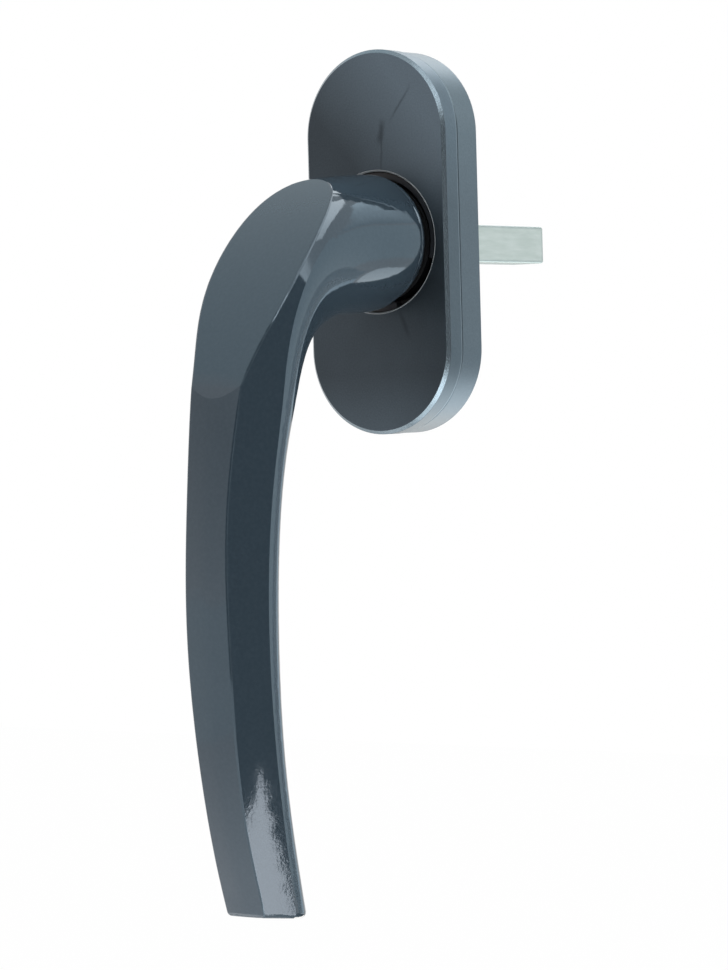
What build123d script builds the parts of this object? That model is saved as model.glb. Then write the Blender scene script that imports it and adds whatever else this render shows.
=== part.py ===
# Window handle: a faceted lever on a slim rosette, with the detent that the rosette hides.
# Sizes are in millimetres. The origin is the centre of the mounting face, on the spindle's axis.
# +Z is up, the lever stands in front of the window at -Y, and the spindle runs back along +Y.

import os
from collections import namedtuple
from math import cos, radians, sin, sqrt

from build123d import *

# Rosette
rosette_rim = 2.7
rosette_height = 70.0
rosette_depth = 10.5
cover_depth = 4.35
cover_wall = 1.4
cover_bevel = 0.65
bore_gap = 0.55
bore_bevel = 0.25
seam_gap = 0.1
seam_step = 0.1
seam_chamfer = 0.2

# Fixing: two countersunk screw holes, with a locating lug round each on the back
screw_spacing = 43.0
screw_hole_radius = 2.6
screw_head_radius = 4.9
screw_head_angle = 90.0
lug_radius = 5.0
lug_height = 2.5

# Bearing of the lever in the base
journal_radius = 8.0
bush_wall = 0.9
bush_flange = 0.8
flange_step = 0.3
hub_gap = 0.75
hub_height = 3.15
running_clearance = 0.05

# Retaining ring on the journal
ring_thickness = 0.8
ring_height = 1.2
ring_groove_depth = 0.7
ring_land = 0.7
ring_opening = 80.0

# Detent: a notched disc on the spindle, with a sprung ball above and below it
detent_pocket_depth = 4.6
disc_radius = 9.0
disc_thickness = 2.0
notch_depth = 1.0
notch_count = 4
ball_radius = 1.3
ball_clearance = 0.15
spring_wire_radius = 0.22
spring_turns = 4
spring_length = 3.1

# Plate that closes the back of the detent
back_plate_thickness = 0.8
back_plate_width = 26.0
back_plate_margin = 0.5
peg_radius = 1.0
peg_margin = 1.7
fit_gap = 0.05

# Split clip in the bore of the cover
clip_wall = 0.95
clip_recess = 0.6
clip_foot = 0.9
clip_foot_height = 0.8
clip_clearance = 0.1
clip_bore_gap = 0.2
clip_opening_start = -72.0
clip_opening_end = -16.0

# Spindle
spindle_side = 7.0
spindle_projection = 39.7
spindle_edge_radius = 0.4
spindle_tip_radius = 0.9
spindle_hole_gap = 0.4
socket_depth = 14.0

# Lever: a round neck that bends down into a faceted grip
neck_radius = 12.25
neck_taper = 0.3
neck_length = 8.0
neck_sag = 0.084
neck_end_inset = 1.55
neck_end_depth = 3.4
shoulder_inset = 2.05
bend_reach = 10.0
bend_thickness = 17.5
bend_flare = 0.75
lever_drop = 117.6
grip_projection = 52.5
grip_bow_radius = 170.0
grip_bow_drop = 64.0
front_crown = 0.45
tip_tilt = 6.0
edge_radius = 0.5
tip_radius = 1.0
cut_margin = 20.0

# Oval face on the bend: three points of its arc, by tilt and by depth in shares of the neck's radius
oval_top = (9.2, 2.053)
oval_middle = (38.6, 1.364)
oval_bottom = (79.0, 1.293)

# Heights in front of the mounting face that follow from the sizes above
base_depth = rosette_depth - cover_depth - seam_gap
cover_back = base_depth + seam_gap
hub_front = base_depth + hub_height
bush_front = hub_front + bush_flange
shoulder_back = bush_front + running_clearance
ring_front = detent_pocket_depth - fit_gap
ring_back = ring_front - ring_thickness
journal_back = ring_back - ring_land
disc_front = journal_back - fit_gap
disc_back = disc_front - disc_thickness
channel_width = 2 * (ball_radius + ball_clearance)
ball_height = back_plate_thickness + channel_width / 2
clip_front = rosette_depth - clip_recess
clip_foot_front = rosette_depth - cover_wall - clip_clearance
clip_back = clip_foot_front - clip_foot_height

# Radii and distances from the axis that follow from the sizes above
cover_bore_radius = neck_radius + bore_gap
rosette_width = 2 * (cover_bore_radius + rosette_rim)
clip_outer_radius = cover_bore_radius - clip_bore_gap
clip_inner_radius = clip_outer_radius - clip_wall
clip_foot_radius = clip_outer_radius + clip_foot
hub_radius = clip_inner_radius - hub_gap
bush_flange_radius = hub_radius - flange_step
shoulder_radius = neck_radius - shoulder_inset
neck_end_radius = neck_radius - neck_end_inset
bush_bore_radius = journal_radius + running_clearance
bush_outer_radius = bush_bore_radius + bush_wall
base_bore_radius = bush_outer_radius + running_clearance
ring_inner_radius = journal_radius - ring_groove_depth + fit_gap
ring_outer_radius = journal_radius + ring_height
pocket_radius = max(ring_outer_radius, disc_radius) + 2 * ball_clearance
ball_place = disc_radius + ball_radius + ball_clearance
notch_place = ball_place - notch_depth
ball_back = ball_place + ball_radius
spring_foot = ball_back + spring_length
back_plate_height = 2 * (spring_foot + back_plate_margin)
peg_spacing = back_plate_width - 2 * peg_margin
spindle_corner_radius = spindle_side / sqrt(2)
bend_radius = grip_projection - bend_reach - bend_thickness
axis_to_bend = neck_radius + bend_flare + bend_radius


# Plane parallel to the mounting face, seen from the front
def front_plane(height):
    return Plane.XZ.offset(height)


# Place in the plane of symmetry, by its reach in front of the cover
def ahead(reach, height):
    return (-rosette_depth - reach, height)


# Place in the bend, by tilt and by depth outwards from its inner side in shares of the neck's radius
def in_bend(tilt, depth):
    radius = bend_radius + depth * neck_radius
    return (bend_reach + radius * sin(radians(tilt)), radius * cos(radians(tilt)) - axis_to_bend)


# Reach of the grip's bowed front at a drop below the axis
def grip_front(drop):
    return grip_projection - (drop - grip_bow_drop) ** 2 / (2 * grip_bow_radius)


# Plane across the lever: tilt 0 cuts the neck and tilt 90 cuts the grip
def lever_plane(reach, height, tilt):
    lean = radians(tilt)
    return Plane(origin=(0, *ahead(reach, height)), x_dir=(1, 0, 0), z_dir=(0, -cos(lean), -sin(lean)))


# Outline of the rosette, or of a slot inside it
def upright_slot(height, width):
    return SlotOverall(height, width, rotation=90)


# Triangle from the axis that opens a split ring, between two angles seen from the front
def split(radius, start, end, mode):
    corners = [(radius * cos(radians(angle)), radius * sin(radians(angle))) for angle in (start, end)]
    return Polygon((0, 0), *corners, align=None, mode=mode)


# A section of the lever has a crowned front, two side facets and a rounded back
Section = namedtuple("Section", "half_front front half_side side back lean drop rounding bulge")


# Round section of the neck, with its lower half deepened by a share of the radius
def neck_section(reach, radius, sag):
    def on(angle):
        rise = radius * cos(radians(angle))
        return (radius * sin(radians(angle)), axis_to_bend + rise + sag * min(rise, 0))

    with BuildLine(lever_plane(reach, -axis_to_bend, 0)):
        outline = [
            ThreePointArc(on(-25), on(0), on(25)),
            ThreePointArc(on(25), on(45), on(65)),
            ThreePointArc(on(65), on(120), on(180)),
            ThreePointArc(on(180), on(240), on(295)),
            ThreePointArc(on(295), on(315), on(335)),
        ]
    return Face(Wire(outline))


def lever_section(plane, s):
    facet = Vector(s.half_side - s.half_front, s.side - s.front)
    swell = Vector(-facet.Y, facet.X).normalized() * s.bulge
    middle = Vector(s.half_front, s.front) + facet * 0.5 + swell
    shoulder = s.half_side + s.lean
    with BuildLine(plane):
        outline = [
            ThreePointArc((-s.half_front, s.front), (0, s.front + front_crown), (s.half_front, s.front)),
            ThreePointArc((s.half_front, s.front), (middle.X, middle.Y), (s.half_side, s.side)),
            Bezier((s.half_side, s.side), (shoulder, s.side - s.drop), (s.rounding, s.back), (0, s.back)),
            Bezier((0, s.back), (-s.rounding, s.back), (-shoulder, s.side - s.drop), (-s.half_side, s.side)),
            ThreePointArc((-s.half_side, s.side), (-middle.X, middle.Y), (-s.half_front, s.front)),
        ]
    return Face(Wire(outline))


# Section in the bend, measured outwards from the inner side of the bend in shares of the neck's radius
def bend_section(tilt, half_front, front, half_side, side, lean, drop, rounding, bulge):
    shares = Section(half_front, front, half_side, side, 0, lean, drop, rounding, bulge)
    section = Section(*(share * neck_radius for share in shares))
    return lever_section(lever_plane(*in_bend(tilt, 0), tilt), section)


# Section of the grip at a share of its drop, its widths and depths in shares of the neck's radius
def grip_section(share, half_front, half_side, facet_depth, back_depth):
    drop = share * lever_drop
    shares = Section(
        half_front, 0, half_side, -facet_depth, -facet_depth - back_depth, 0, 0.85 * back_depth, 0.72 * half_side, 0.004
    )
    section = Section(*(share * neck_radius for share in shares))
    return lever_section(lever_plane(grip_front(drop), -drop, 90), section)


# Lever: neck, bend and grip in one casting, with the journal and the spindle's socket behind
with BuildPart() as lever:
    loft(
        sections=[
            neck_section(0, neck_radius, 0),
            neck_section(neck_length, neck_radius - neck_taper, neck_sag),
            bend_section(20, 0.408, 1.981, 0.841, 1.426, 0.212, 0.620, 0.588, 0.069),
            bend_section(36, 0.563, 1.845, 0.861, 1.241, 0.082, 0.539, 0.539, 0.020),
            bend_section(54, 0.518, 1.477, 0.824, 0.938, 0.024, 0.506, 0.563, 0.008),
            bend_section(72, 0.445, 1.237, 0.776, 0.673, 0.000, 0.457, 0.555, 0.004),
            grip_section(0.318, 0.392, 0.739, 0.580, 0.522),
            grip_section(0.525, 0.370, 0.694, 0.535, 0.502),
            grip_section(0.763, 0.349, 0.657, 0.510, 0.429),
            grip_section(0.907, 0.335, 0.616, 0.482, 0.433),
            grip_section(1.03, 0.306, 0.551, 0.408, 0.490),
        ]
    )
    with BuildSketch(Plane.YZ):
        with BuildLine():
            oval = ThreePointArc(*(ahead(*in_bend(*place)) for place in (oval_top, oval_middle, oval_bottom)))
            Polyline(
                oval @ 1,
                oval @ 1 - (cut_margin, 0),
                oval @ 0 + (-cut_margin, cut_margin),
                oval @ 0 + (cut_margin, cut_margin),
                oval @ 0,
            )
        make_face()
    extrude(amount=cut_margin, both=True, mode=Mode.SUBTRACT)
    with BuildSketch(Plane.YZ):
        with Locations(ahead(grip_front(lever_drop), -lever_drop)):
            Rectangle(4 * cut_margin, cut_margin, rotation=-tip_tilt, align=(Align.CENTER, Align.MAX))
    extrude(amount=cut_margin, both=True, mode=Mode.SUBTRACT)
    fillet(faces().sort_by(Axis.Z)[0].edges(), radius=tip_radius)
    oval_rim = faces().filter_by(GeomType.CYLINDER)[0].edges().sort_by(SortBy.LENGTH)[-2:]
    grip_creases = faces().sort_by(Axis.Y)[0].edges().sort_by(SortBy.LENGTH)[-2:]
    fillet(oval_rim + grip_creases, radius=edge_radius)
    with BuildSketch(Plane.XY):
        with BuildLine():
            neck_start = neck_radius - neck_taper * neck_end_depth / neck_length
            roll = TangentArc(
                (neck_start, -rosette_depth - neck_end_depth), (neck_end_radius, -rosette_depth), tangent=(0, 1)
            )
            Polyline(
                roll @ 1,
                roll @ 1 + (0, edge_radius),
                roll @ 1 + (cut_margin, edge_radius),
                roll @ 0 + (cut_margin, 0),
                roll @ 0,
            )
        make_face()
    revolve(axis=Axis.Y, mode=Mode.SUBTRACT)
    with BuildSketch(front_plane(shoulder_back)):
        Circle(shoulder_radius)
    extrude(amount=rosette_depth - shoulder_back)
    with BuildSketch(front_plane(journal_back)):
        Circle(journal_radius)
    extrude(amount=shoulder_back - journal_back)
    with BuildSketch(front_plane(ring_back)):
        Circle(journal_radius)
        Circle(journal_radius - ring_groove_depth, mode=Mode.SUBTRACT)
    extrude(amount=ring_thickness, mode=Mode.SUBTRACT)
    with BuildSketch(front_plane(journal_back)):
        Rectangle(spindle_side + 2 * fit_gap, spindle_side + 2 * fit_gap)
    extrude(amount=rosette_depth + socket_depth - journal_back, mode=Mode.SUBTRACT)

# Spindle: square steel bar from the socket in the neck to the window's gear
with BuildPart() as spindle:
    with BuildSketch(front_plane(-spindle_projection)):
        Rectangle(spindle_side, spindle_side)
    extrude(amount=spindle_projection + rosette_depth + socket_depth)
    fillet(edges().filter_by(Axis.Y), spindle_edge_radius)
    fillet(faces().sort_by(Axis.Y)[-1].edges(), spindle_tip_radius)

# Ring that keeps the journal from leaving the base
with BuildPart() as retaining_ring:
    with BuildSketch(front_plane(ring_back)):
        Circle(ring_outer_radius)
        Circle(ring_inner_radius, mode=Mode.SUBTRACT)
        split(2 * ring_outer_radius, 90 - ring_opening / 2, 90 + ring_opening / 2, Mode.SUBTRACT)
    extrude(amount=ring_thickness)

# Disc with a notch for each quarter turn of the lever
with BuildPart() as detent_disc:
    with BuildSketch(front_plane(disc_back)):
        Circle(disc_radius)
        Rectangle(spindle_side + 2 * fit_gap, spindle_side + 2 * fit_gap, mode=Mode.SUBTRACT)
        with PolarLocations(notch_place, notch_count, start_angle=90):
            Circle(ball_radius + ball_clearance, mode=Mode.SUBTRACT)
    extrude(amount=disc_thickness)


# Ball that clicks into a notch, pressed back here to the rim of the disc, on the given side of the axis
def detent_ball(side):
    with BuildPart() as ball:
        with Locations((0, -ball_height, side * ball_place)):
            Sphere(ball_radius)
    return ball.part


# Coil spring that presses a ball into the disc, on the given side of the axis
def detent_spring(side):
    coil_radius = ball_radius - spring_wire_radius
    coil_height = spring_length - 2 * spring_wire_radius - 2 * fit_gap
    start = (0, -ball_height, side * (ball_back + spring_wire_radius + fit_gap))
    with BuildPart() as spring:
        with BuildLine() as path:
            Helix(coil_height / spring_turns, coil_height, coil_radius, center=start, direction=(0, 0, side))
        with BuildSketch(Plane(origin=path.line @ 0, z_dir=path.line % 0)):
            Circle(spring_wire_radius)
        sweep()
    return spring.part


# Base: carries the bearing and the detent, and is screwed to the window
with BuildPart() as base_plate:
    with BuildSketch(front_plane(0)):
        upright_slot(rosette_height - 2 * seam_step, rosette_width - 2 * seam_step)
    extrude(amount=base_depth)
    chamfer(faces().sort_by(Axis.Y)[0].edges(), seam_chamfer)
    with BuildSketch(front_plane(base_depth)):
        Circle(hub_radius)
    extrude(amount=hub_height)
    with BuildSketch(front_plane(0)):
        with GridLocations(0, screw_spacing, 1, 2):
            Circle(lug_radius)
    extrude(amount=-lug_height)
    with Locations(front_plane(base_depth)):
        with GridLocations(0, screw_spacing, 1, 2):
            CounterSinkHole(screw_hole_radius, screw_head_radius, counter_sink_angle=screw_head_angle)
    with BuildSketch(front_plane(0)):
        Circle(base_bore_radius)
    extrude(amount=hub_front, mode=Mode.SUBTRACT)
    with BuildSketch(front_plane(0)):
        Circle(pocket_radius)
    extrude(amount=detent_pocket_depth, mode=Mode.SUBTRACT)
    with BuildSketch(front_plane(back_plate_thickness)):
        Rectangle(channel_width, 2 * spring_foot)
    extrude(amount=channel_width, mode=Mode.SUBTRACT)
    with BuildSketch(front_plane(0)):
        upright_slot(back_plate_height, back_plate_width)
        with GridLocations(peg_spacing, 0, 2, 1):
            Circle(peg_radius, mode=Mode.SUBTRACT)
    extrude(amount=back_plate_thickness, mode=Mode.SUBTRACT)

# Steel plate let into the back of the base, over the disc, the balls and their springs
with BuildPart() as back_plate:
    with BuildSketch(front_plane(0)):
        upright_slot(back_plate_height - 2 * fit_gap, back_plate_width - 2 * fit_gap)
        Circle(spindle_corner_radius + spindle_hole_gap, mode=Mode.SUBTRACT)
        with GridLocations(peg_spacing, 0, 2, 1):
            Circle(peg_radius + fit_gap, mode=Mode.SUBTRACT)
    extrude(amount=back_plate_thickness)

# Flanged bush between the journal and the base
with BuildPart() as bearing_bush:
    with BuildSketch(front_plane(detent_pocket_depth)):
        Circle(bush_outer_radius)
    extrude(amount=hub_front - detent_pocket_depth)
    with BuildSketch(front_plane(hub_front)):
        Circle(bush_flange_radius)
    extrude(amount=bush_flange)
    with BuildSketch(front_plane(detent_pocket_depth)):
        Circle(bush_bore_radius)
    extrude(amount=bush_front - detent_pocket_depth, mode=Mode.SUBTRACT)

# Cover: a shell over the screws that is eased forward and turned to reach them
with BuildPart() as cover_cap:
    with BuildSketch(front_plane(cover_back)):
        upright_slot(rosette_height, rosette_width)
    extrude(amount=cover_depth)
    chamfer(faces().sort_by(Axis.Y)[0].edges(), cover_bevel)
    chamfer(faces().sort_by(Axis.Y)[-1].edges(), seam_chamfer)
    with BuildSketch(front_plane(cover_back)):
        upright_slot(rosette_height - 2 * cover_wall, rosette_width - 2 * cover_wall)
    extrude(amount=cover_depth - cover_wall, mode=Mode.SUBTRACT)
    with BuildSketch(front_plane(cover_back)):
        Circle(cover_bore_radius)
    extrude(amount=cover_depth, mode=Mode.SUBTRACT)
    chamfer(faces().sort_by(Axis.Y)[0].edges().filter_by(GeomType.CIRCLE).sort_by(SortBy.RADIUS)[0], bore_bevel)

# Split clip that lines the bore of the cover and holds it by a foot behind its front wall
with BuildPart() as cover_clip:
    with BuildSketch(front_plane(clip_back)):
        Circle(clip_outer_radius)
    extrude(amount=clip_front - clip_back)
    with BuildSketch(front_plane(clip_back)):
        Circle(clip_foot_radius)
    extrude(amount=clip_foot_height)
    with BuildSketch(front_plane(clip_back)):
        Circle(clip_inner_radius)
        split(2 * clip_foot_radius, clip_opening_start, clip_opening_end, Mode.ADD)
    extrude(amount=clip_front - clip_back, mode=Mode.SUBTRACT)

pieces = {
    "lever": lever.part,
    "spindle": spindle.part,
    "retaining_ring": retaining_ring.part,
    "detent_disc": detent_disc.part,
    "detent_ball_upper": detent_ball(1),
    "detent_ball_lower": detent_ball(-1),
    "detent_spring_upper": detent_spring(1),
    "detent_spring_lower": detent_spring(-1),
    "base_plate": base_plate.part,
    "back_plate": back_plate.part,
    "bearing_bush": bearing_bush.part,
    "cover_cap": cover_cap.part,
    "cover_clip": cover_clip.part,
}
os.makedirs("parts", exist_ok=True)
for name, piece in pieces.items():
    piece.label = name
    export_step(piece, f"parts/{name}.step")
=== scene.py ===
import math

import bpy
from mathutils import Matrix, Vector

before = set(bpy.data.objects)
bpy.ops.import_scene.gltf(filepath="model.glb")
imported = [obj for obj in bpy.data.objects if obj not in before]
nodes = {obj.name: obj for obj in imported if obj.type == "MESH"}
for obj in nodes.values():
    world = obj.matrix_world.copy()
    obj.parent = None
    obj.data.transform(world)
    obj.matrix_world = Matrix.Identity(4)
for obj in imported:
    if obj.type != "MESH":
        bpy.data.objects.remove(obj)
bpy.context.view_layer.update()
mm = 0.001
colourA, colourB, colourOut = 6, 7, 2  # where a Mix node set to colour takes and gives its colours
print("frame loaded:", len(nodes), "nodes")


def hexToLinear(text):
    channels = [int(text[i:i + 2], 16) / 255 for i in (1, 3, 5)]
    return tuple(c / 12.92 if c <= 0.04045 else ((c + 0.055) / 1.055) ** 2.4 for c in channels) + (1.0,)


def addNode(tree, kind, inputs=None, **settings):
    node = tree.nodes.new(kind)
    for name, value in settings.items():
        setattr(node, name, value)
    for socket, value in (inputs or {}).items():
        if isinstance(value, bpy.types.NodeSocket):
            tree.links.new(value, node.inputs[socket])
        else:
            node.inputs[socket].default_value = value
    return node


def newMaterial(name):
    material = bpy.data.materials.new(name)
    material.use_nodes = True
    tree = material.node_tree
    tree.nodes.clear()
    coords = addNode(tree, "ShaderNodeTexCoord").outputs["Object"]
    return material, tree, coords


def closeMaterial(tree, shader):
    addNode(tree, "ShaderNodeOutputMaterial", {"Surface": shader.outputs[0]})


def dress(material, *names):
    for name in names:
        nodes[name].material_slots[0].material = material


# Lever: cast aluminium, sprayed with a blue-grey anthracite lacquer.
# The colour is dark and even, and the gloss shows the studio with the faint waves of sprayed paint.
# Real flecks are finer, and are drawn as coarse as they need to show.
leverPaint = {
    "base": "#2d3942", "fleck": "#313d46", "fleckSize": 0.6 * mm, "fleckEnds": (0.35, 0.75),
    "gloss": "#d8efff", "roughness": 0.06, "ior": 1.68, "waveSize": 0.5 * mm, "waveDepth": 0.0045 * mm,
    "calm": {"from": -80 * mm, "to": -40 * mm, "share": 0.2},
    "peel": {"start": -30 * mm, "end": -16 * mm, "size": 1.2 * mm, "depth": 0.004 * mm},
    "bead": {
        "start": -13.5 * mm, "end": -12.3 * mm, "sway": 0.9 * mm, "depth": 0.65 * mm,
        "breakSize": 4.0 * mm, "breaks": (0.3, 0.46),
    },
}


def makeLeverPaint(v):
    material, tree, coords = newMaterial("sprayedAnthraciteLacquer")
    flecks = addNode(
        tree, "ShaderNodeTexNoise", {"Vector": coords, "Scale": 1 / v["fleckSize"], "Detail": 1.0}
    )
    tone = addNode(tree, "ShaderNodeValToRGB", {"Fac": flecks.outputs["Fac"]})
    for stop, position, shade in zip(tone.color_ramp.elements, v["fleckEnds"], (v["base"], v["fleck"])):
        stop.position, stop.color = position, hexToLinear(shade)

    # the waves calm down towards the neck
    waves = addNode(
        tree, "ShaderNodeTexNoise", {"Vector": coords, "Scale": 1 / v["waveSize"], "Detail": 2.0}
    )
    place = addNode(tree, "ShaderNodeSeparateXYZ", {0: coords}).outputs
    along, height = place["Y"], place["Z"]
    calm = addNode(tree, "ShaderNodeMapRange", {
        "Value": height, "From Min": v["calm"]["from"], "From Max": v["calm"]["to"],
        "To Min": 1.0, "To Max": v["calm"]["share"],
    })
    waves = addNode(
        tree, "ShaderNodeMath", {0: waves.outputs["Fac"], 1: calm.outputs[0]}, operation="MULTIPLY"
    )
    bump = addNode(tree, "ShaderNodeBump", {"Height": waves.outputs[0], "Distance": v["waveDepth"]})

    # towards the neck's end the lacquer is thicker, and its skin like orange peel
    peel = v["peel"]
    skin = addNode(tree, "ShaderNodeTexNoise", {"Vector": coords, "Scale": 1 / peel["size"], "Detail": 1.0})
    share = addNode(tree, "ShaderNodeMapRange", {
        "Value": along, "From Min": peel["start"], "From Max": peel["end"],
    })
    skin = addNode(
        tree, "ShaderNodeMath", {0: skin.outputs["Fac"], 1: share.outputs[0]}, operation="MULTIPLY"
    )
    bump = addNode(tree, "ShaderNodeBump", {
        "Height": skin.outputs[0], "Distance": peel["depth"], "Normal": bump.outputs["Normal"],
    })

    # a broken bead of lacquer has run together where the neck turns into the bore
    bead = v["bead"]
    sway = addNode(
        tree, "ShaderNodeTexNoise", {"Vector": coords, "Scale": 1 / bead["breakSize"], "Detail": 0.8}
    )
    swayed = addNode(
        tree, "ShaderNodeMath", {0: sway.outputs["Fac"], 1: bead["sway"], 2: along}, operation="MULTIPLY_ADD"
    )
    ridge = addNode(tree, "ShaderNodeMapRange", {
        "Value": swayed.outputs[0],
        "From Min": bead["start"] + bead["sway"] / 2, "From Max": bead["end"] + bead["sway"] / 2,
    })
    runs = addNode(tree, "ShaderNodeMapRange", {
        "Value": sway.outputs["Fac"], "From Min": bead["breaks"][0], "From Max": bead["breaks"][1],
    })
    ridge = addNode(tree, "ShaderNodeMath", {0: ridge.outputs[0], 1: runs.outputs[0]}, operation="MULTIPLY")
    bump = addNode(tree, "ShaderNodeBump", {
        "Height": ridge.outputs[0], "Distance": bead["depth"], "Normal": bump.outputs["Normal"],
    })
    shader = addNode(tree, "ShaderNodeBsdfPrincipled", {
        "Base Color": tone.outputs["Color"], "Roughness": v["roughness"], "IOR": v["ior"],
        "Specular Tint": hexToLinear(v["gloss"]), "Normal": bump.outputs["Normal"],
    })
    closeMaterial(tree, shader)
    return material


dress(makeLeverPaint(leverPaint), "lever")
print("lever painted")

# Rosette: plastic moulded with a metallic pigment. The satin skin gives soft reflections,
# faint dark weld lines show where the melt met behind the bore, and the bore's bevel is painted pale as a
# painted highlight.
coverSatin = {
    "dark": "#373f45", "light": "#606f7a", "cloudSize": 14 * mm, "cloudShare": 0.25,
    # wall tone, painted paler towards its top as painted sheen
    "wall": "#556169", "wallTopSheen": "#64737d", "wallSheenRise": (6 * mm, 26 * mm),
    # bore rim: painted highlight in front, painted shade behind
    "rimHighlight": "#b9c1c5", "rimRadius": 13.1 * mm, "rimBack": -10.2 * mm, "boreShade": "#16181b",
    "grainSize": 0.3 * mm, "grainDepth": 0.02 * mm, "grainEnds": (0.3, 0.7), "mottle": (0.92, 1.08),
    "edge": (-10.48 * mm, -10.3 * mm), "flakeShare": 0.88, "roughness": 0.4, "ior": 1.5,
    "weldColour": "#2c3338", "wobbleSize": 2.5 * mm, "sway": 0.8 * mm,
    # bevel and lip colours are painted highlights
    "bevel": {"middle": -10.18 * mm, "half": 0.29 * mm, "roughness": 0.27, "colour": "#788790"},
    "lip": {"from": -6.6 * mm, "to": -6.4 * mm, "colour": "#7d8b94", "share": 1.0},
    # painted sheen: the face paler to the upper right and at its foot
    "paintedSheen": {
        "across": 0.7, "up": 0.6, "from": 5.0 * mm, "to": 23.0 * mm,
        "foot": (-24 * mm, -38 * mm), "footShare": 0.5,
    },
    "welds": {  # in millimetres across and up, seen from the front
        "stem": {
            "from": (1.5, 13.0), "to": (1.8, 20.5), "ends": (10.0, 22.0), "width": 0.4, "strength": 0.35,
        },
        "smudge": {
            "from": (1.4, 18.4), "to": (2.0, 21.4), "ends": (17.0, 22.6), "width": 1.0, "strength": 0.55,
        },
        "branch": {
            "from": (3.7, 22.0), "to": (8.3, 27.6), "ends": (21.2, 28.6), "width": 0.45, "strength": 0.45,
        },
        "lower": {
            "from": (6.6, -17.0), "to": (5.0, -13.3), "ends": (-18.0, -12.0), "width": 0.8, "strength": 0.6,
        },
    },
}
baseSatin = dict(  # the base has no weld lines and no lip
    coverSatin, wall="#5e6a72", wallTopSheen="#69777f", welds={}, lip=dict(coverSatin["lip"], share=0.0),
)


def markWeld(tree, x, z, wobble, sway, v):
    line = addNode(tree, "ShaderNodeMapRange", {
        "Value": z, "From Min": v["from"][1] * mm, "From Max": v["to"][1] * mm,
        "To Min": v["from"][0] * mm, "To Max": v["to"][0] * mm,
    })
    away = addNode(tree, "ShaderNodeMath", {0: x, 1: line.outputs[0]}, operation="SUBTRACT")
    away = addNode(
        tree, "ShaderNodeMath", {0: wobble, 1: -sway, 2: away.outputs[0]}, operation="MULTIPLY_ADD"
    )
    away = addNode(tree, "ShaderNodeMath", {0: away.outputs[0], 1: sway / 2}, operation="ADD")
    away = addNode(tree, "ShaderNodeMath", {0: away.outputs[0]}, operation="ABSOLUTE")
    mark = addNode(tree, "ShaderNodeMapRange", {
        "Value": away.outputs[0], "From Max": v["width"] * mm, "To Min": v["strength"], "To Max": 0.0,
    }, interpolation_type="SMOOTHSTEP")

    # full strength in the middle third, and then a fade to both ends
    low, high = v["ends"]
    middle, half = (low + high) / 2 * mm, (high - low) / 2 * mm
    inside = addNode(tree, "ShaderNodeMath", {0: z, 1: middle}, operation="SUBTRACT")
    inside = addNode(tree, "ShaderNodeMath", {0: inside.outputs[0]}, operation="ABSOLUTE")
    fade = addNode(tree, "ShaderNodeMapRange", {
        "Value": inside.outputs[0], "From Min": half / 3, "From Max": half, "To Min": 1.0, "To Max": 0.0,
    })
    return addNode(
        tree, "ShaderNodeMath", {0: mark.outputs[0], 1: fade.outputs[0]}, operation="MULTIPLY"
    ).outputs[0]


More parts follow.
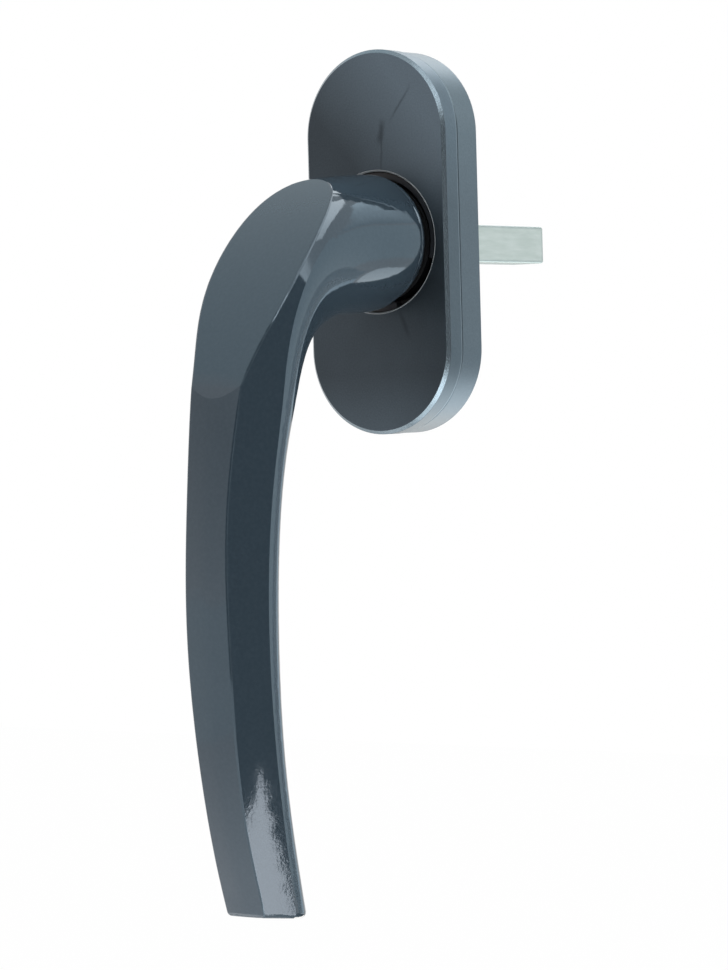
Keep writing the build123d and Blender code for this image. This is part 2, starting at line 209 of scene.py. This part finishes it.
def makeSatin(name, v):
    material, tree, coords = newMaterial(name)
    place = addNode(tree, "ShaderNodeSeparateXYZ", {0: coords}).outputs
    clouds = addNode(
        tree, "ShaderNodeTexNoise", {"Vector": coords, "Scale": 1 / v["cloudSize"], "Detail": 4.0}
    )
    wobble = addNode(
        tree, "ShaderNodeTexNoise", {"Vector": coords, "Scale": 1 / v["wobbleSize"], "Detail": 3.0}
    )
    grain = addNode(
        tree, "ShaderNodeTexNoise", {"Vector": coords, "Scale": 1 / v["grainSize"], "Detail": 2.0}
    )

    # painted sheen: the face is painted paler to the upper right and at its foot, standing in for brighter
    # reflections there
    paintedSheen = v["paintedSheen"]
    uphill = (paintedSheen["across"], 0, paintedSheen["up"])
    slope = addNode(tree, "ShaderNodeVectorMath", {0: coords, 1: uphill}, operation="DOT_PRODUCT")
    pale = addNode(tree, "ShaderNodeMapRange", {
        "Value": slope.outputs["Value"], "From Min": paintedSheen["from"], "From Max": paintedSheen["to"],
    })
    foot = addNode(tree, "ShaderNodeMapRange", {
        "Value": place["Z"], "From Min": paintedSheen["foot"][0], "From Max": paintedSheen["foot"][1],
        "To Max": paintedSheen["footShare"],
    })
    pale = addNode(tree, "ShaderNodeMath", {0: pale.outputs[0], 1: foot.outputs[0]}, operation="ADD")
    pale = addNode(tree, "ShaderNodeMath", {
        0: clouds.outputs["Fac"], 1: v["cloudShare"], 2: pale.outputs[0],
    }, operation="MULTIPLY_ADD")
    face = addNode(tree, "ShaderNodeMix", {
        "Factor": pale.outputs[0], colourA: hexToLinear(v["dark"]), colourB: hexToLinear(v["light"]),
    }, data_type="RGBA")
    colour = face.outputs[colourOut]
    for weld in v["welds"].values():
        mark = markWeld(tree, place["X"], place["Z"], wobble.outputs["Fac"], v["sway"], weld)
        colour = addNode(tree, "ShaderNodeMix", {
            "Factor": mark, colourA: colour, colourB: hexToLinear(v["weldColour"]),
        }, data_type="RGBA").outputs[colourOut]

    # the wall behind the front edge is paler, and painted paler still towards its top as painted sheen
    side = addNode(tree, "ShaderNodeMapRange", {
        "Value": place["Y"], "From Min": v["edge"][0], "From Max": v["edge"][1],
    })
    rise = addNode(tree, "ShaderNodeMapRange", {
        "Value": place["Z"], "From Min": v["wallSheenRise"][0], "From Max": v["wallSheenRise"][1],
    })
    wall = addNode(tree, "ShaderNodeMix", {
        "Factor": rise.outputs[0], colourA: hexToLinear(v["wall"]), colourB: hexToLinear(v["wallTopSheen"]),
    }, data_type="RGBA")
    colour = addNode(tree, "ShaderNodeMix", {
        "Factor": side.outputs[0], colourA: colour, colourB: wall.outputs[colourOut],
    }, data_type="RGBA").outputs[colourOut]

    # the lip at the seam and the bevel are painted pale as painted highlights, and the bevel is made
    # smoother
    lip, bevel = v["lip"], v["bevel"]
    onLip = addNode(tree, "ShaderNodeMapRange", {
        "Value": place["Y"], "From Min": lip["from"], "From Max": lip["to"], "To Max": lip["share"],
    })
    colour = addNode(tree, "ShaderNodeMix", {
        "Factor": onLip.outputs[0], colourA: colour, colourB: hexToLinear(lip["colour"]),
    }, data_type="RGBA").outputs[colourOut]
    onBevel = addNode(
        tree, "ShaderNodeMath", {0: place["Y"], 1: bevel["middle"], 2: bevel["half"]}, operation="COMPARE"
    )
    colour = addNode(tree, "ShaderNodeMix", {
        "Factor": onBevel.outputs[0], colourA: colour, colourB: hexToLinear(bevel["colour"]),
    }, data_type="RGBA").outputs[colourOut]
    rough = addNode(tree, "ShaderNodeMapRange", {
        "Value": onBevel.outputs[0], "To Min": v["roughness"], "To Max": bevel["roughness"],
    })

    # inside the bore's radius there is no metallic pigment: a painted highlight as a pale rim in front, and
    # painted shade as dark plastic behind it
    flat = addNode(tree, "ShaderNodeVectorMath", {0: coords, 1: (1, 0, 1)}, operation="MULTIPLY")
    radius = addNode(tree, "ShaderNodeVectorMath", {0: flat.outputs[0]}, operation="LENGTH")
    outside = addNode(
        tree, "ShaderNodeMath", {0: radius.outputs["Value"], 1: v["rimRadius"]}, operation="GREATER_THAN"
    )
    behind = addNode(tree, "ShaderNodeMath", {0: place["Y"], 1: v["rimBack"]}, operation="GREATER_THAN")
    bore = addNode(tree, "ShaderNodeMix", {
        "Factor": behind.outputs[0], colourA: hexToLinear(v["rimHighlight"]), colourB: hexToLinear(v["boreShade"]),
    }, data_type="RGBA")
    mottle = addNode(tree, "ShaderNodeMapRange", {
        "Value": grain.outputs["Fac"], "From Min": v["grainEnds"][0], "From Max": v["grainEnds"][1],
        "To Min": v["mottle"][0], "To Max": v["mottle"][1],
    })
    colour = addNode(
        tree, "ShaderNodeVectorMath", {0: colour, 1: mottle.outputs[0]}, operation="MULTIPLY"
    ).outputs[0]
    colour = addNode(tree, "ShaderNodeMix", {
        "Factor": outside.outputs[0], colourA: bore.outputs[colourOut], colourB: colour,
    }, data_type="RGBA").outputs[colourOut]
    metal = addNode(
        tree, "ShaderNodeMath", {0: outside.outputs[0], 1: v["flakeShare"]}, operation="MULTIPLY"
    )
    bump = addNode(tree, "ShaderNodeBump", {"Height": grain.outputs["Fac"], "Distance": v["grainDepth"]})
    shader = addNode(tree, "ShaderNodeBsdfPrincipled", {
        "Base Color": colour, "Metallic": metal.outputs[0], "Roughness": rough.outputs[0], "IOR": v["ior"],
        "Normal": bump.outputs["Normal"],
    })
    closeMaterial(tree, shader)
    return material


dress(makeSatin("satinMetallicCover", coverSatin), "cover_cap")
dress(makeSatin("satinMetallicBase", baseSatin), "base_plate")
print("rosette painted")

# Clip and bush: moulded acetal, one dark grey and one black, dull with a faint grain
acetal = {
    "clip": ("#1c1f23", "#25282d"), "bush": ("#141517", "#1b1d1f"),
    "grainSize": 0.6 * mm, "roughness": 0.42, "ior": 1.48,
}


def makeAcetal(name, colours, v):
    material, tree, coords = newMaterial(name)
    grain = addNode(
        tree, "ShaderNodeTexNoise", {"Vector": coords, "Scale": 1 / v["grainSize"], "Detail": 2.0}
    )
    tone = addNode(tree, "ShaderNodeValToRGB", {"Fac": grain.outputs["Fac"]})
    for stop, shade in zip(tone.color_ramp.elements, colours):
        stop.color = hexToLinear(shade)
    shader = addNode(tree, "ShaderNodeBsdfPrincipled", {
        "Base Color": tone.outputs["Color"], "Roughness": v["roughness"], "IOR": v["ior"],
    })
    closeMaterial(tree, shader)
    return material


dress(makeAcetal("greyAcetal", acetal["clip"], acetal), "cover_clip")
dress(makeAcetal("blackAcetal", acetal["bush"], acetal), "bearing_bush")

# Spindle, plate and disc: drawn and rolled steel, zinc plated, pale with faint drawing lines.
# Springs, balls and ring: drawn spring steel, smoother and a little darker.
# Real drawing lines are finer, and are drawn as coarse as they need to show.
zincSteel = {
    "dark": "#bfcaca", "light": "#cbd6d6", "lineEnds": (0.3, 0.7), "lineSpacing": 0.8 * mm,
    "lineLength": 5 * mm, "lineDepth": 0.002 * mm, "roughness": 0.4,
}
spindleSteel = dict(  # its edges and tip are painted darker as painted shade
    zincSteel, dark="#bcc4be", light="#c9cfca",
    edge="#93a09f", edgeSide=(2.9 * mm, 3.5 * mm), edgeTip=(38.5 * mm, 39.7 * mm),
)
springSteel = dict(
    zincSteel, dark="#9a9da1", light="#b9bcbf", lineSpacing=0.3 * mm, lineLength=4 * mm, roughness=0.28,
)


def makeSteel(name, v):
    material, tree, coords = newMaterial(name)
    stretch = (1 / v["lineSpacing"], 1 / v["lineLength"], 1 / v["lineSpacing"])
    lines = addNode(tree, "ShaderNodeMapping", {"Vector": coords, "Scale": stretch})
    drawn = addNode(
        tree, "ShaderNodeTexNoise", {"Vector": lines.outputs["Vector"], "Scale": 1.0, "Detail": 2.0}
    )
    tone = addNode(tree, "ShaderNodeValToRGB", {"Fac": drawn.outputs["Fac"]})
    for stop, position, shade in zip(tone.color_ramp.elements, v["lineEnds"], (v["dark"], v["light"])):
        stop.position, stop.color = position, hexToLinear(shade)
    colour = tone.outputs["Color"]
    # painted shade: the spindle's edges and tip are darker
    if "edge" in v:
        place = addNode(tree, "ShaderNodeSeparateXYZ", {0: coords}).outputs
        side = addNode(tree, "ShaderNodeMath", {0: place["Z"]}, operation="ABSOLUTE")
        side = addNode(tree, "ShaderNodeMapRange", {
            "Value": side.outputs[0], "From Min": v["edgeSide"][0], "From Max": v["edgeSide"][1],
        })
        tip = addNode(tree, "ShaderNodeMapRange", {
            "Value": place["Y"], "From Min": v["edgeTip"][0], "From Max": v["edgeTip"][1],
        })
        rounded = addNode(
            tree, "ShaderNodeMath", {0: side.outputs[0], 1: tip.outputs[0]}, operation="MAXIMUM"
        )
        colour = addNode(tree, "ShaderNodeMix", {
            "Factor": rounded.outputs[0], colourA: colour, colourB: hexToLinear(v["edge"]),
        }, data_type="RGBA").outputs[colourOut]
    bump = addNode(tree, "ShaderNodeBump", {"Height": drawn.outputs["Fac"], "Distance": v["lineDepth"]})
    shader = addNode(tree, "ShaderNodeBsdfPrincipled", {
        "Base Color": colour, "Metallic": 1.0, "Roughness": v["roughness"],
        "Normal": bump.outputs["Normal"],
    })
    closeMaterial(tree, shader)
    return material


dress(makeSteel("zincPlatedSteel", zincSteel), "back_plate", "detent_disc")
dress(makeSteel("zincPlatedSpindleSteel", spindleSteel), "spindle")
dress(
    makeSteel("drawnSpringSteel", springSteel), "retaining_ring", "detent_ball_upper", "detent_ball_lower",
    "detent_spring_upper", "detent_spring_lower",
)
print("metal and acetal done")

# Studio: a white room with plain softboxes and five sheets of grey felt, none of them seen by the camera.
# Corners are given as azimuth and elevation from a point on the handle, lower pair first.
# A softbox's radiance is that of its lower and upper edge, with rise the share of its height between them.
studio = {
    "floorHeight": -0.9, "floorSize": 14.0, "floorColour": "#f4f4f4", "floorWhite": 0.98,
    "white": "#ffffff", "worldLight": 0.8,
    "softboxes": {
        "overhead": {
            "from": (0.0, -0.04, 0.0), "distance": 0.8, "radiance": (3.0, 3.0),
            "corners": ((70, 30), (182, 50), (60, 78), (215, 78)),
        },
        "topFront": {  # upper bevel of the rosette
            "from": (0.0, -0.01, 0.02), "distance": 0.8, "radiance": (2.0, 2.0),
            "corners": ((5, 52), (75, 52), (0, 66), (80, 66)),
        },
        "highRight": {  # bright band at the bend
            "from": (0.009, -0.038, 0.001), "distance": 0.8, "radiance": (3.0, 4.2), "rise": 0.5,
            "corners": ((104, 19.5), (125, 27), (100, 47), (160, 47)),
        },
        "back": {
            "from": (0.01, -0.028, 0.004), "distance": 0.85, "radiance": (1.0, 3.0), "tint": "#e2eff6",
            "corners": ((134, 18), (182, 18), (147, 38), (182, 42)),
        },
        "lowBack": {  # light strip under the neck
            "from": (0.01, -0.03, -0.005), "distance": 0.75, "radiance": (5.2, 2.5), "tint": "#eef3f5",
            "corners": ((128, -58), (188, -58), (132, -22), (184, -24)),
        },
        "under": {  # lower bevel of the rosette
            "from": (0.0, -0.01, -0.02), "distance": 0.7, "radiance": (2.6, 2.6),
            "corners": ((0, -80), (80, -80), (0, -52), (75, -52)),
        },
        "lowRight": {  # streaks near the tip
            "from": (0.008, -0.06, -0.1), "distance": 0.45, "radiance": (5.6, 5.6), "tint": "#fff2ee",
            "corners": ((90, -55), (86.8, -23.5), (73, -33), (81.4, -14.8)),
        },
        "topBack": {  # top of the rosette's wall
            "from": (0.01, -0.005, 0.025), "distance": 0.9, "radiance": (2.9, 4.4),
            "corners": ((166, 30), (215, 30), (166, 56), (215, 56)),
        },
        "bottomBack": {  # foot of the rosette's wall
            "from": (0.01, -0.005, -0.025), "distance": 0.8, "radiance": (4.2, 2.9), "tint": "#fffaf3",
            "corners": ((170, -56), (215, -56), (170, -28), (215, -28)),
        },
        "lowLeft": {
            "from": (0.0, -0.06, -0.09), "distance": 0.7, "radiance": (2.9, 1.0), "tint": "#fff6f3",
            "corners": ((-90, -60), (20, -60), (-90, -8), (10, -12)),
        },
        "highLeft": {  # oval face
            "from": (0.0, -0.045, 0.0), "distance": 0.9, "radiance": (1.12, 1.12), "tint": "#e6eff2",
            "corners": ((-125, 30), (-35, 30), (-125, 64), (-35, 64)),
        },
        "frontLow": {
            "from": (0.0, -0.06, -0.036), "distance": 1.0, "radiance": (1.04, 0.67), "tint": "#fff6f3",
            "corners": ((-75, -4), (0, -4), (-75, 13), (0, 13)),
        },
        "frontHigh": {
            "from": (0.0, -0.06, -0.036), "distance": 1.0, "radiance": (0.67, 1.02), "rise": 0.5,
            "tint": "#fff6f3", "corners": ((-75, 13), (0, 13), (-75, 31), (0, 31)),
        },
        "lowFront": {
            "from": (0.0, -0.06, -0.1), "distance": 0.6, "radiance": (1.6, 1.3),
            "corners": ((8, -52), (74, -48), (8, -12), (70, -17)),
        },
        "level": {
            "from": (0.012, -0.02, 0.0), "distance": 1.0, "radiance": (1.3, 1.3), "tint": "#e4f1f6",
            "corners": ((130, -16), (150, -16), (130, 17), (150, 17)),
        },
        "seam": {  # line down the back of the grip
            "from": (0.008, -0.053, -0.08), "distance": 1.3, "radiance": (1.6, 1.6), "tint": "#d6e9f5",
            "corners": ((156.5, -20), (171, -20), (165.5, -2), (179, -2)),
        },
        "rim": {  # glint on the lower bevel
            "from": (0.01, -0.0105, -0.03), "distance": 0.35, "radiance": (6.6, 4.6),
            "corners": ((36, -56), (50, -56), (46, -26), (60, -26)),
        },
        "crease": {  # line beside the oval face
            "from": (0.004, -0.062, -0.012), "distance": 0.4, "radiance": (5.0, 5.0),
            "corners": ((38, 36.5), (57, 27.5), (36, 52), (60, 46)),
        },
        "rimTop": {  # glint on the upper bevel
            "from": (0.01, -0.0105, 0.03), "distance": 0.35, "radiance": (2.2, 2.2),
            "corners": ((48, 18), (62, 18), (38, 53), (56, 53)),
        },
    },
    "felt": {
        "right": {
            "from": (0.009, -0.038, 0.001), "distance": 1.1, "colour": "#484a4c",
            "corners": ((52, -15), (112, -48), (52, 40), (109, 21.5)),
        },
        "front": {
            "from": (0.009, -0.038, 0.001), "distance": 1.1, "colour": "#484a4c",
            "corners": ((2, -15), (44, -15), (2, 45), (44, 45)),
        },
        "neck": {
            "from": (0.01, -0.028, 0.004), "distance": 0.6, "colour": "#484a4c",
            "corners": ((146, 24), (168, 24), (158.5, 47.5), (176, 52)),
        },
        "rear": {
            "from": (0.008, -0.053, -0.08), "distance": 1.2, "colour": "#c4ced4",
            "corners": ((151, -19.5), (158.7, -19.5), (151, 4), (174, 4)),
        },
        "tip": {
            "from": (0.007, -0.048, -0.116), "distance": 0.12, "colour": "#7d878d",
            "corners": ((130, -70), (190, -70), (130, -16), (190, -16)),
        },
    },
}


def direction(azimuth, elevation):
    a, e = math.radians(azimuth), math.radians(elevation)
    return Vector((math.sin(a) * math.cos(e), -math.cos(a) * math.cos(e), math.sin(e)))


def whiteToCamera(tree):
    rays = addNode(tree, "ShaderNodeLightPath").outputs
    seen = rays["Is Camera Ray"]
    for kind in ("Is Glossy Ray", "Is Transmission Ray"):
        seen = addNode(tree, "ShaderNodeMath", {0: seen, 1: rays[kind]}, operation="MAXIMUM").outputs[0]
    return seen


def addSheet(name, v, material):
    bpy.ops.object.select_all(action="DESELECT")
    bpy.ops.mesh.primitive_plane_add(size=1.0)
    sheet = bpy.context.object
    sheet.name = name
    for vertex, corner in zip(sheet.data.vertices, v["corners"]):
        vertex.co = Vector(v["from"]) + direction(*corner) * v["distance"]
    sheet.data.materials.append(material)
    sheet.visible_camera = False


def makeStudio(v):
    scene = bpy.context.scene
    scene.view_settings.view_transform = "Standard"
    white = hexToLinear(v["white"])
    world = bpy.data.worlds.new("whiteRoom")
    world.use_nodes = True
    tree = world.node_tree
    tree.nodes.clear()
    lit = addNode(tree, "ShaderNodeBackground", {"Color": white, "Strength": v["worldLight"]})
    seen = addNode(tree, "ShaderNodeBackground", {"Color": white, "Strength": 1.0})
    both = addNode(
        tree, "ShaderNodeMixShader", {0: whiteToCamera(tree), 1: lit.outputs[0], 2: seen.outputs[0]}
    )
    addNode(tree, "ShaderNodeOutputWorld", {"Surface": both.outputs[0]})
    scene.world = world

    bpy.ops.object.select_all(action="DESELECT")
    bpy.ops.mesh.primitive_plane_add(size=v["floorSize"], location=(0, 0, v["floorHeight"]))
    floor = bpy.context.object
    floor.name = "floor"
    material, tree = newMaterial("paleFloor")[:2]
    matt = addNode(tree, "ShaderNodeBsdfDiffuse", {"Color": hexToLinear(v["floorColour"])})
    glow = addNode(tree, "ShaderNodeEmission", {"Color": white, "Strength": 1.0})
    share = addNode(
        tree, "ShaderNodeMath", {0: whiteToCamera(tree), 1: v["floorWhite"]}, operation="MULTIPLY"
    )
    both = addNode(
        tree, "ShaderNodeMixShader", {0: share.outputs[0], 1: matt.outputs[0], 2: glow.outputs[0]}
    )
    closeMaterial(tree, both)
    floor.data.materials.append(material)

    for name, box in v["softboxes"].items():
        material, tree = newMaterial(name + "Cloth")[:2]
        place = addNode(tree, "ShaderNodeTexCoord").outputs["UV"]
        height = addNode(tree, "ShaderNodeSeparateXYZ", {0: place}).outputs["Y"]
        low, high = box["radiance"]
        strength = addNode(tree, "ShaderNodeMapRange", {
            "Value": height, "From Max": box.get("rise", 1.0), "To Min": low, "To Max": high,
        })
        closeMaterial(tree, addNode(tree, "ShaderNodeEmission", {
            "Color": hexToLinear(box.get("tint", v["white"])), "Strength": strength.outputs[0],
        }))
        addSheet(name + "Softbox", box, material)

    for name, sheet in v["felt"].items():
        material, tree = newMaterial(name + "FeltCloth")[:2]
        closeMaterial(tree, addNode(tree, "ShaderNodeBsdfDiffuse", {"Color": hexToLinear(sheet["colour"])}))
        addSheet(name + "Felt", sheet, material)


makeStudio(studio)
print("studio set")

# Camera: a long lens level with the handle, to its right, rolled a little
photoCamera = {
    "azimuth": 36.16, "elevation": 1.46, "roll": -1.55, "distance": 0.7, "pixelsPerMm": 5.43,
    "axisPixel": (409.8, 243.0), "image": (728, 970), "sensor": 36.0, "clip": (0.01, 50),
}


def makeCamera(v):
    a, e, r = (math.radians(v[key]) for key in ("azimuth", "elevation", "roll"))
    forward = Vector((-math.sin(a) * math.cos(e), math.cos(a) * math.cos(e), -math.sin(e)))
    level = Vector((math.cos(a), math.sin(a), 0))
    upright = level.cross(forward)
    right = level * math.cos(r) + upright * math.sin(r)
    up = upright * math.cos(r) - level * math.sin(r)
    width, height = v["image"]
    across = (v["axisPixel"][0] - width / 2) / v["pixelsPerMm"] * mm
    down = (v["axisPixel"][1] - height / 2) / v["pixelsPerMm"] * mm
    data = bpy.data.cameras.new("photoCamera")
    data.sensor_width = v["sensor"]
    data.lens = v["pixelsPerMm"] * v["distance"] / mm / max(width, height) * v["sensor"]
    data.clip_start, data.clip_end = v["clip"]
    camera = bpy.data.objects.new("photoCamera", data)
    bpy.context.scene.collection.objects.link(camera)
    turned = Matrix((right, up, -forward)).transposed().to_4x4()
    camera.matrix_world = Matrix.Translation(up * down - right * across - forward * v["distance"]) @ turned
    bpy.context.scene.camera = camera


makeCamera(photoCamera)
print("camera set")

bpy.context.view_layer.update()
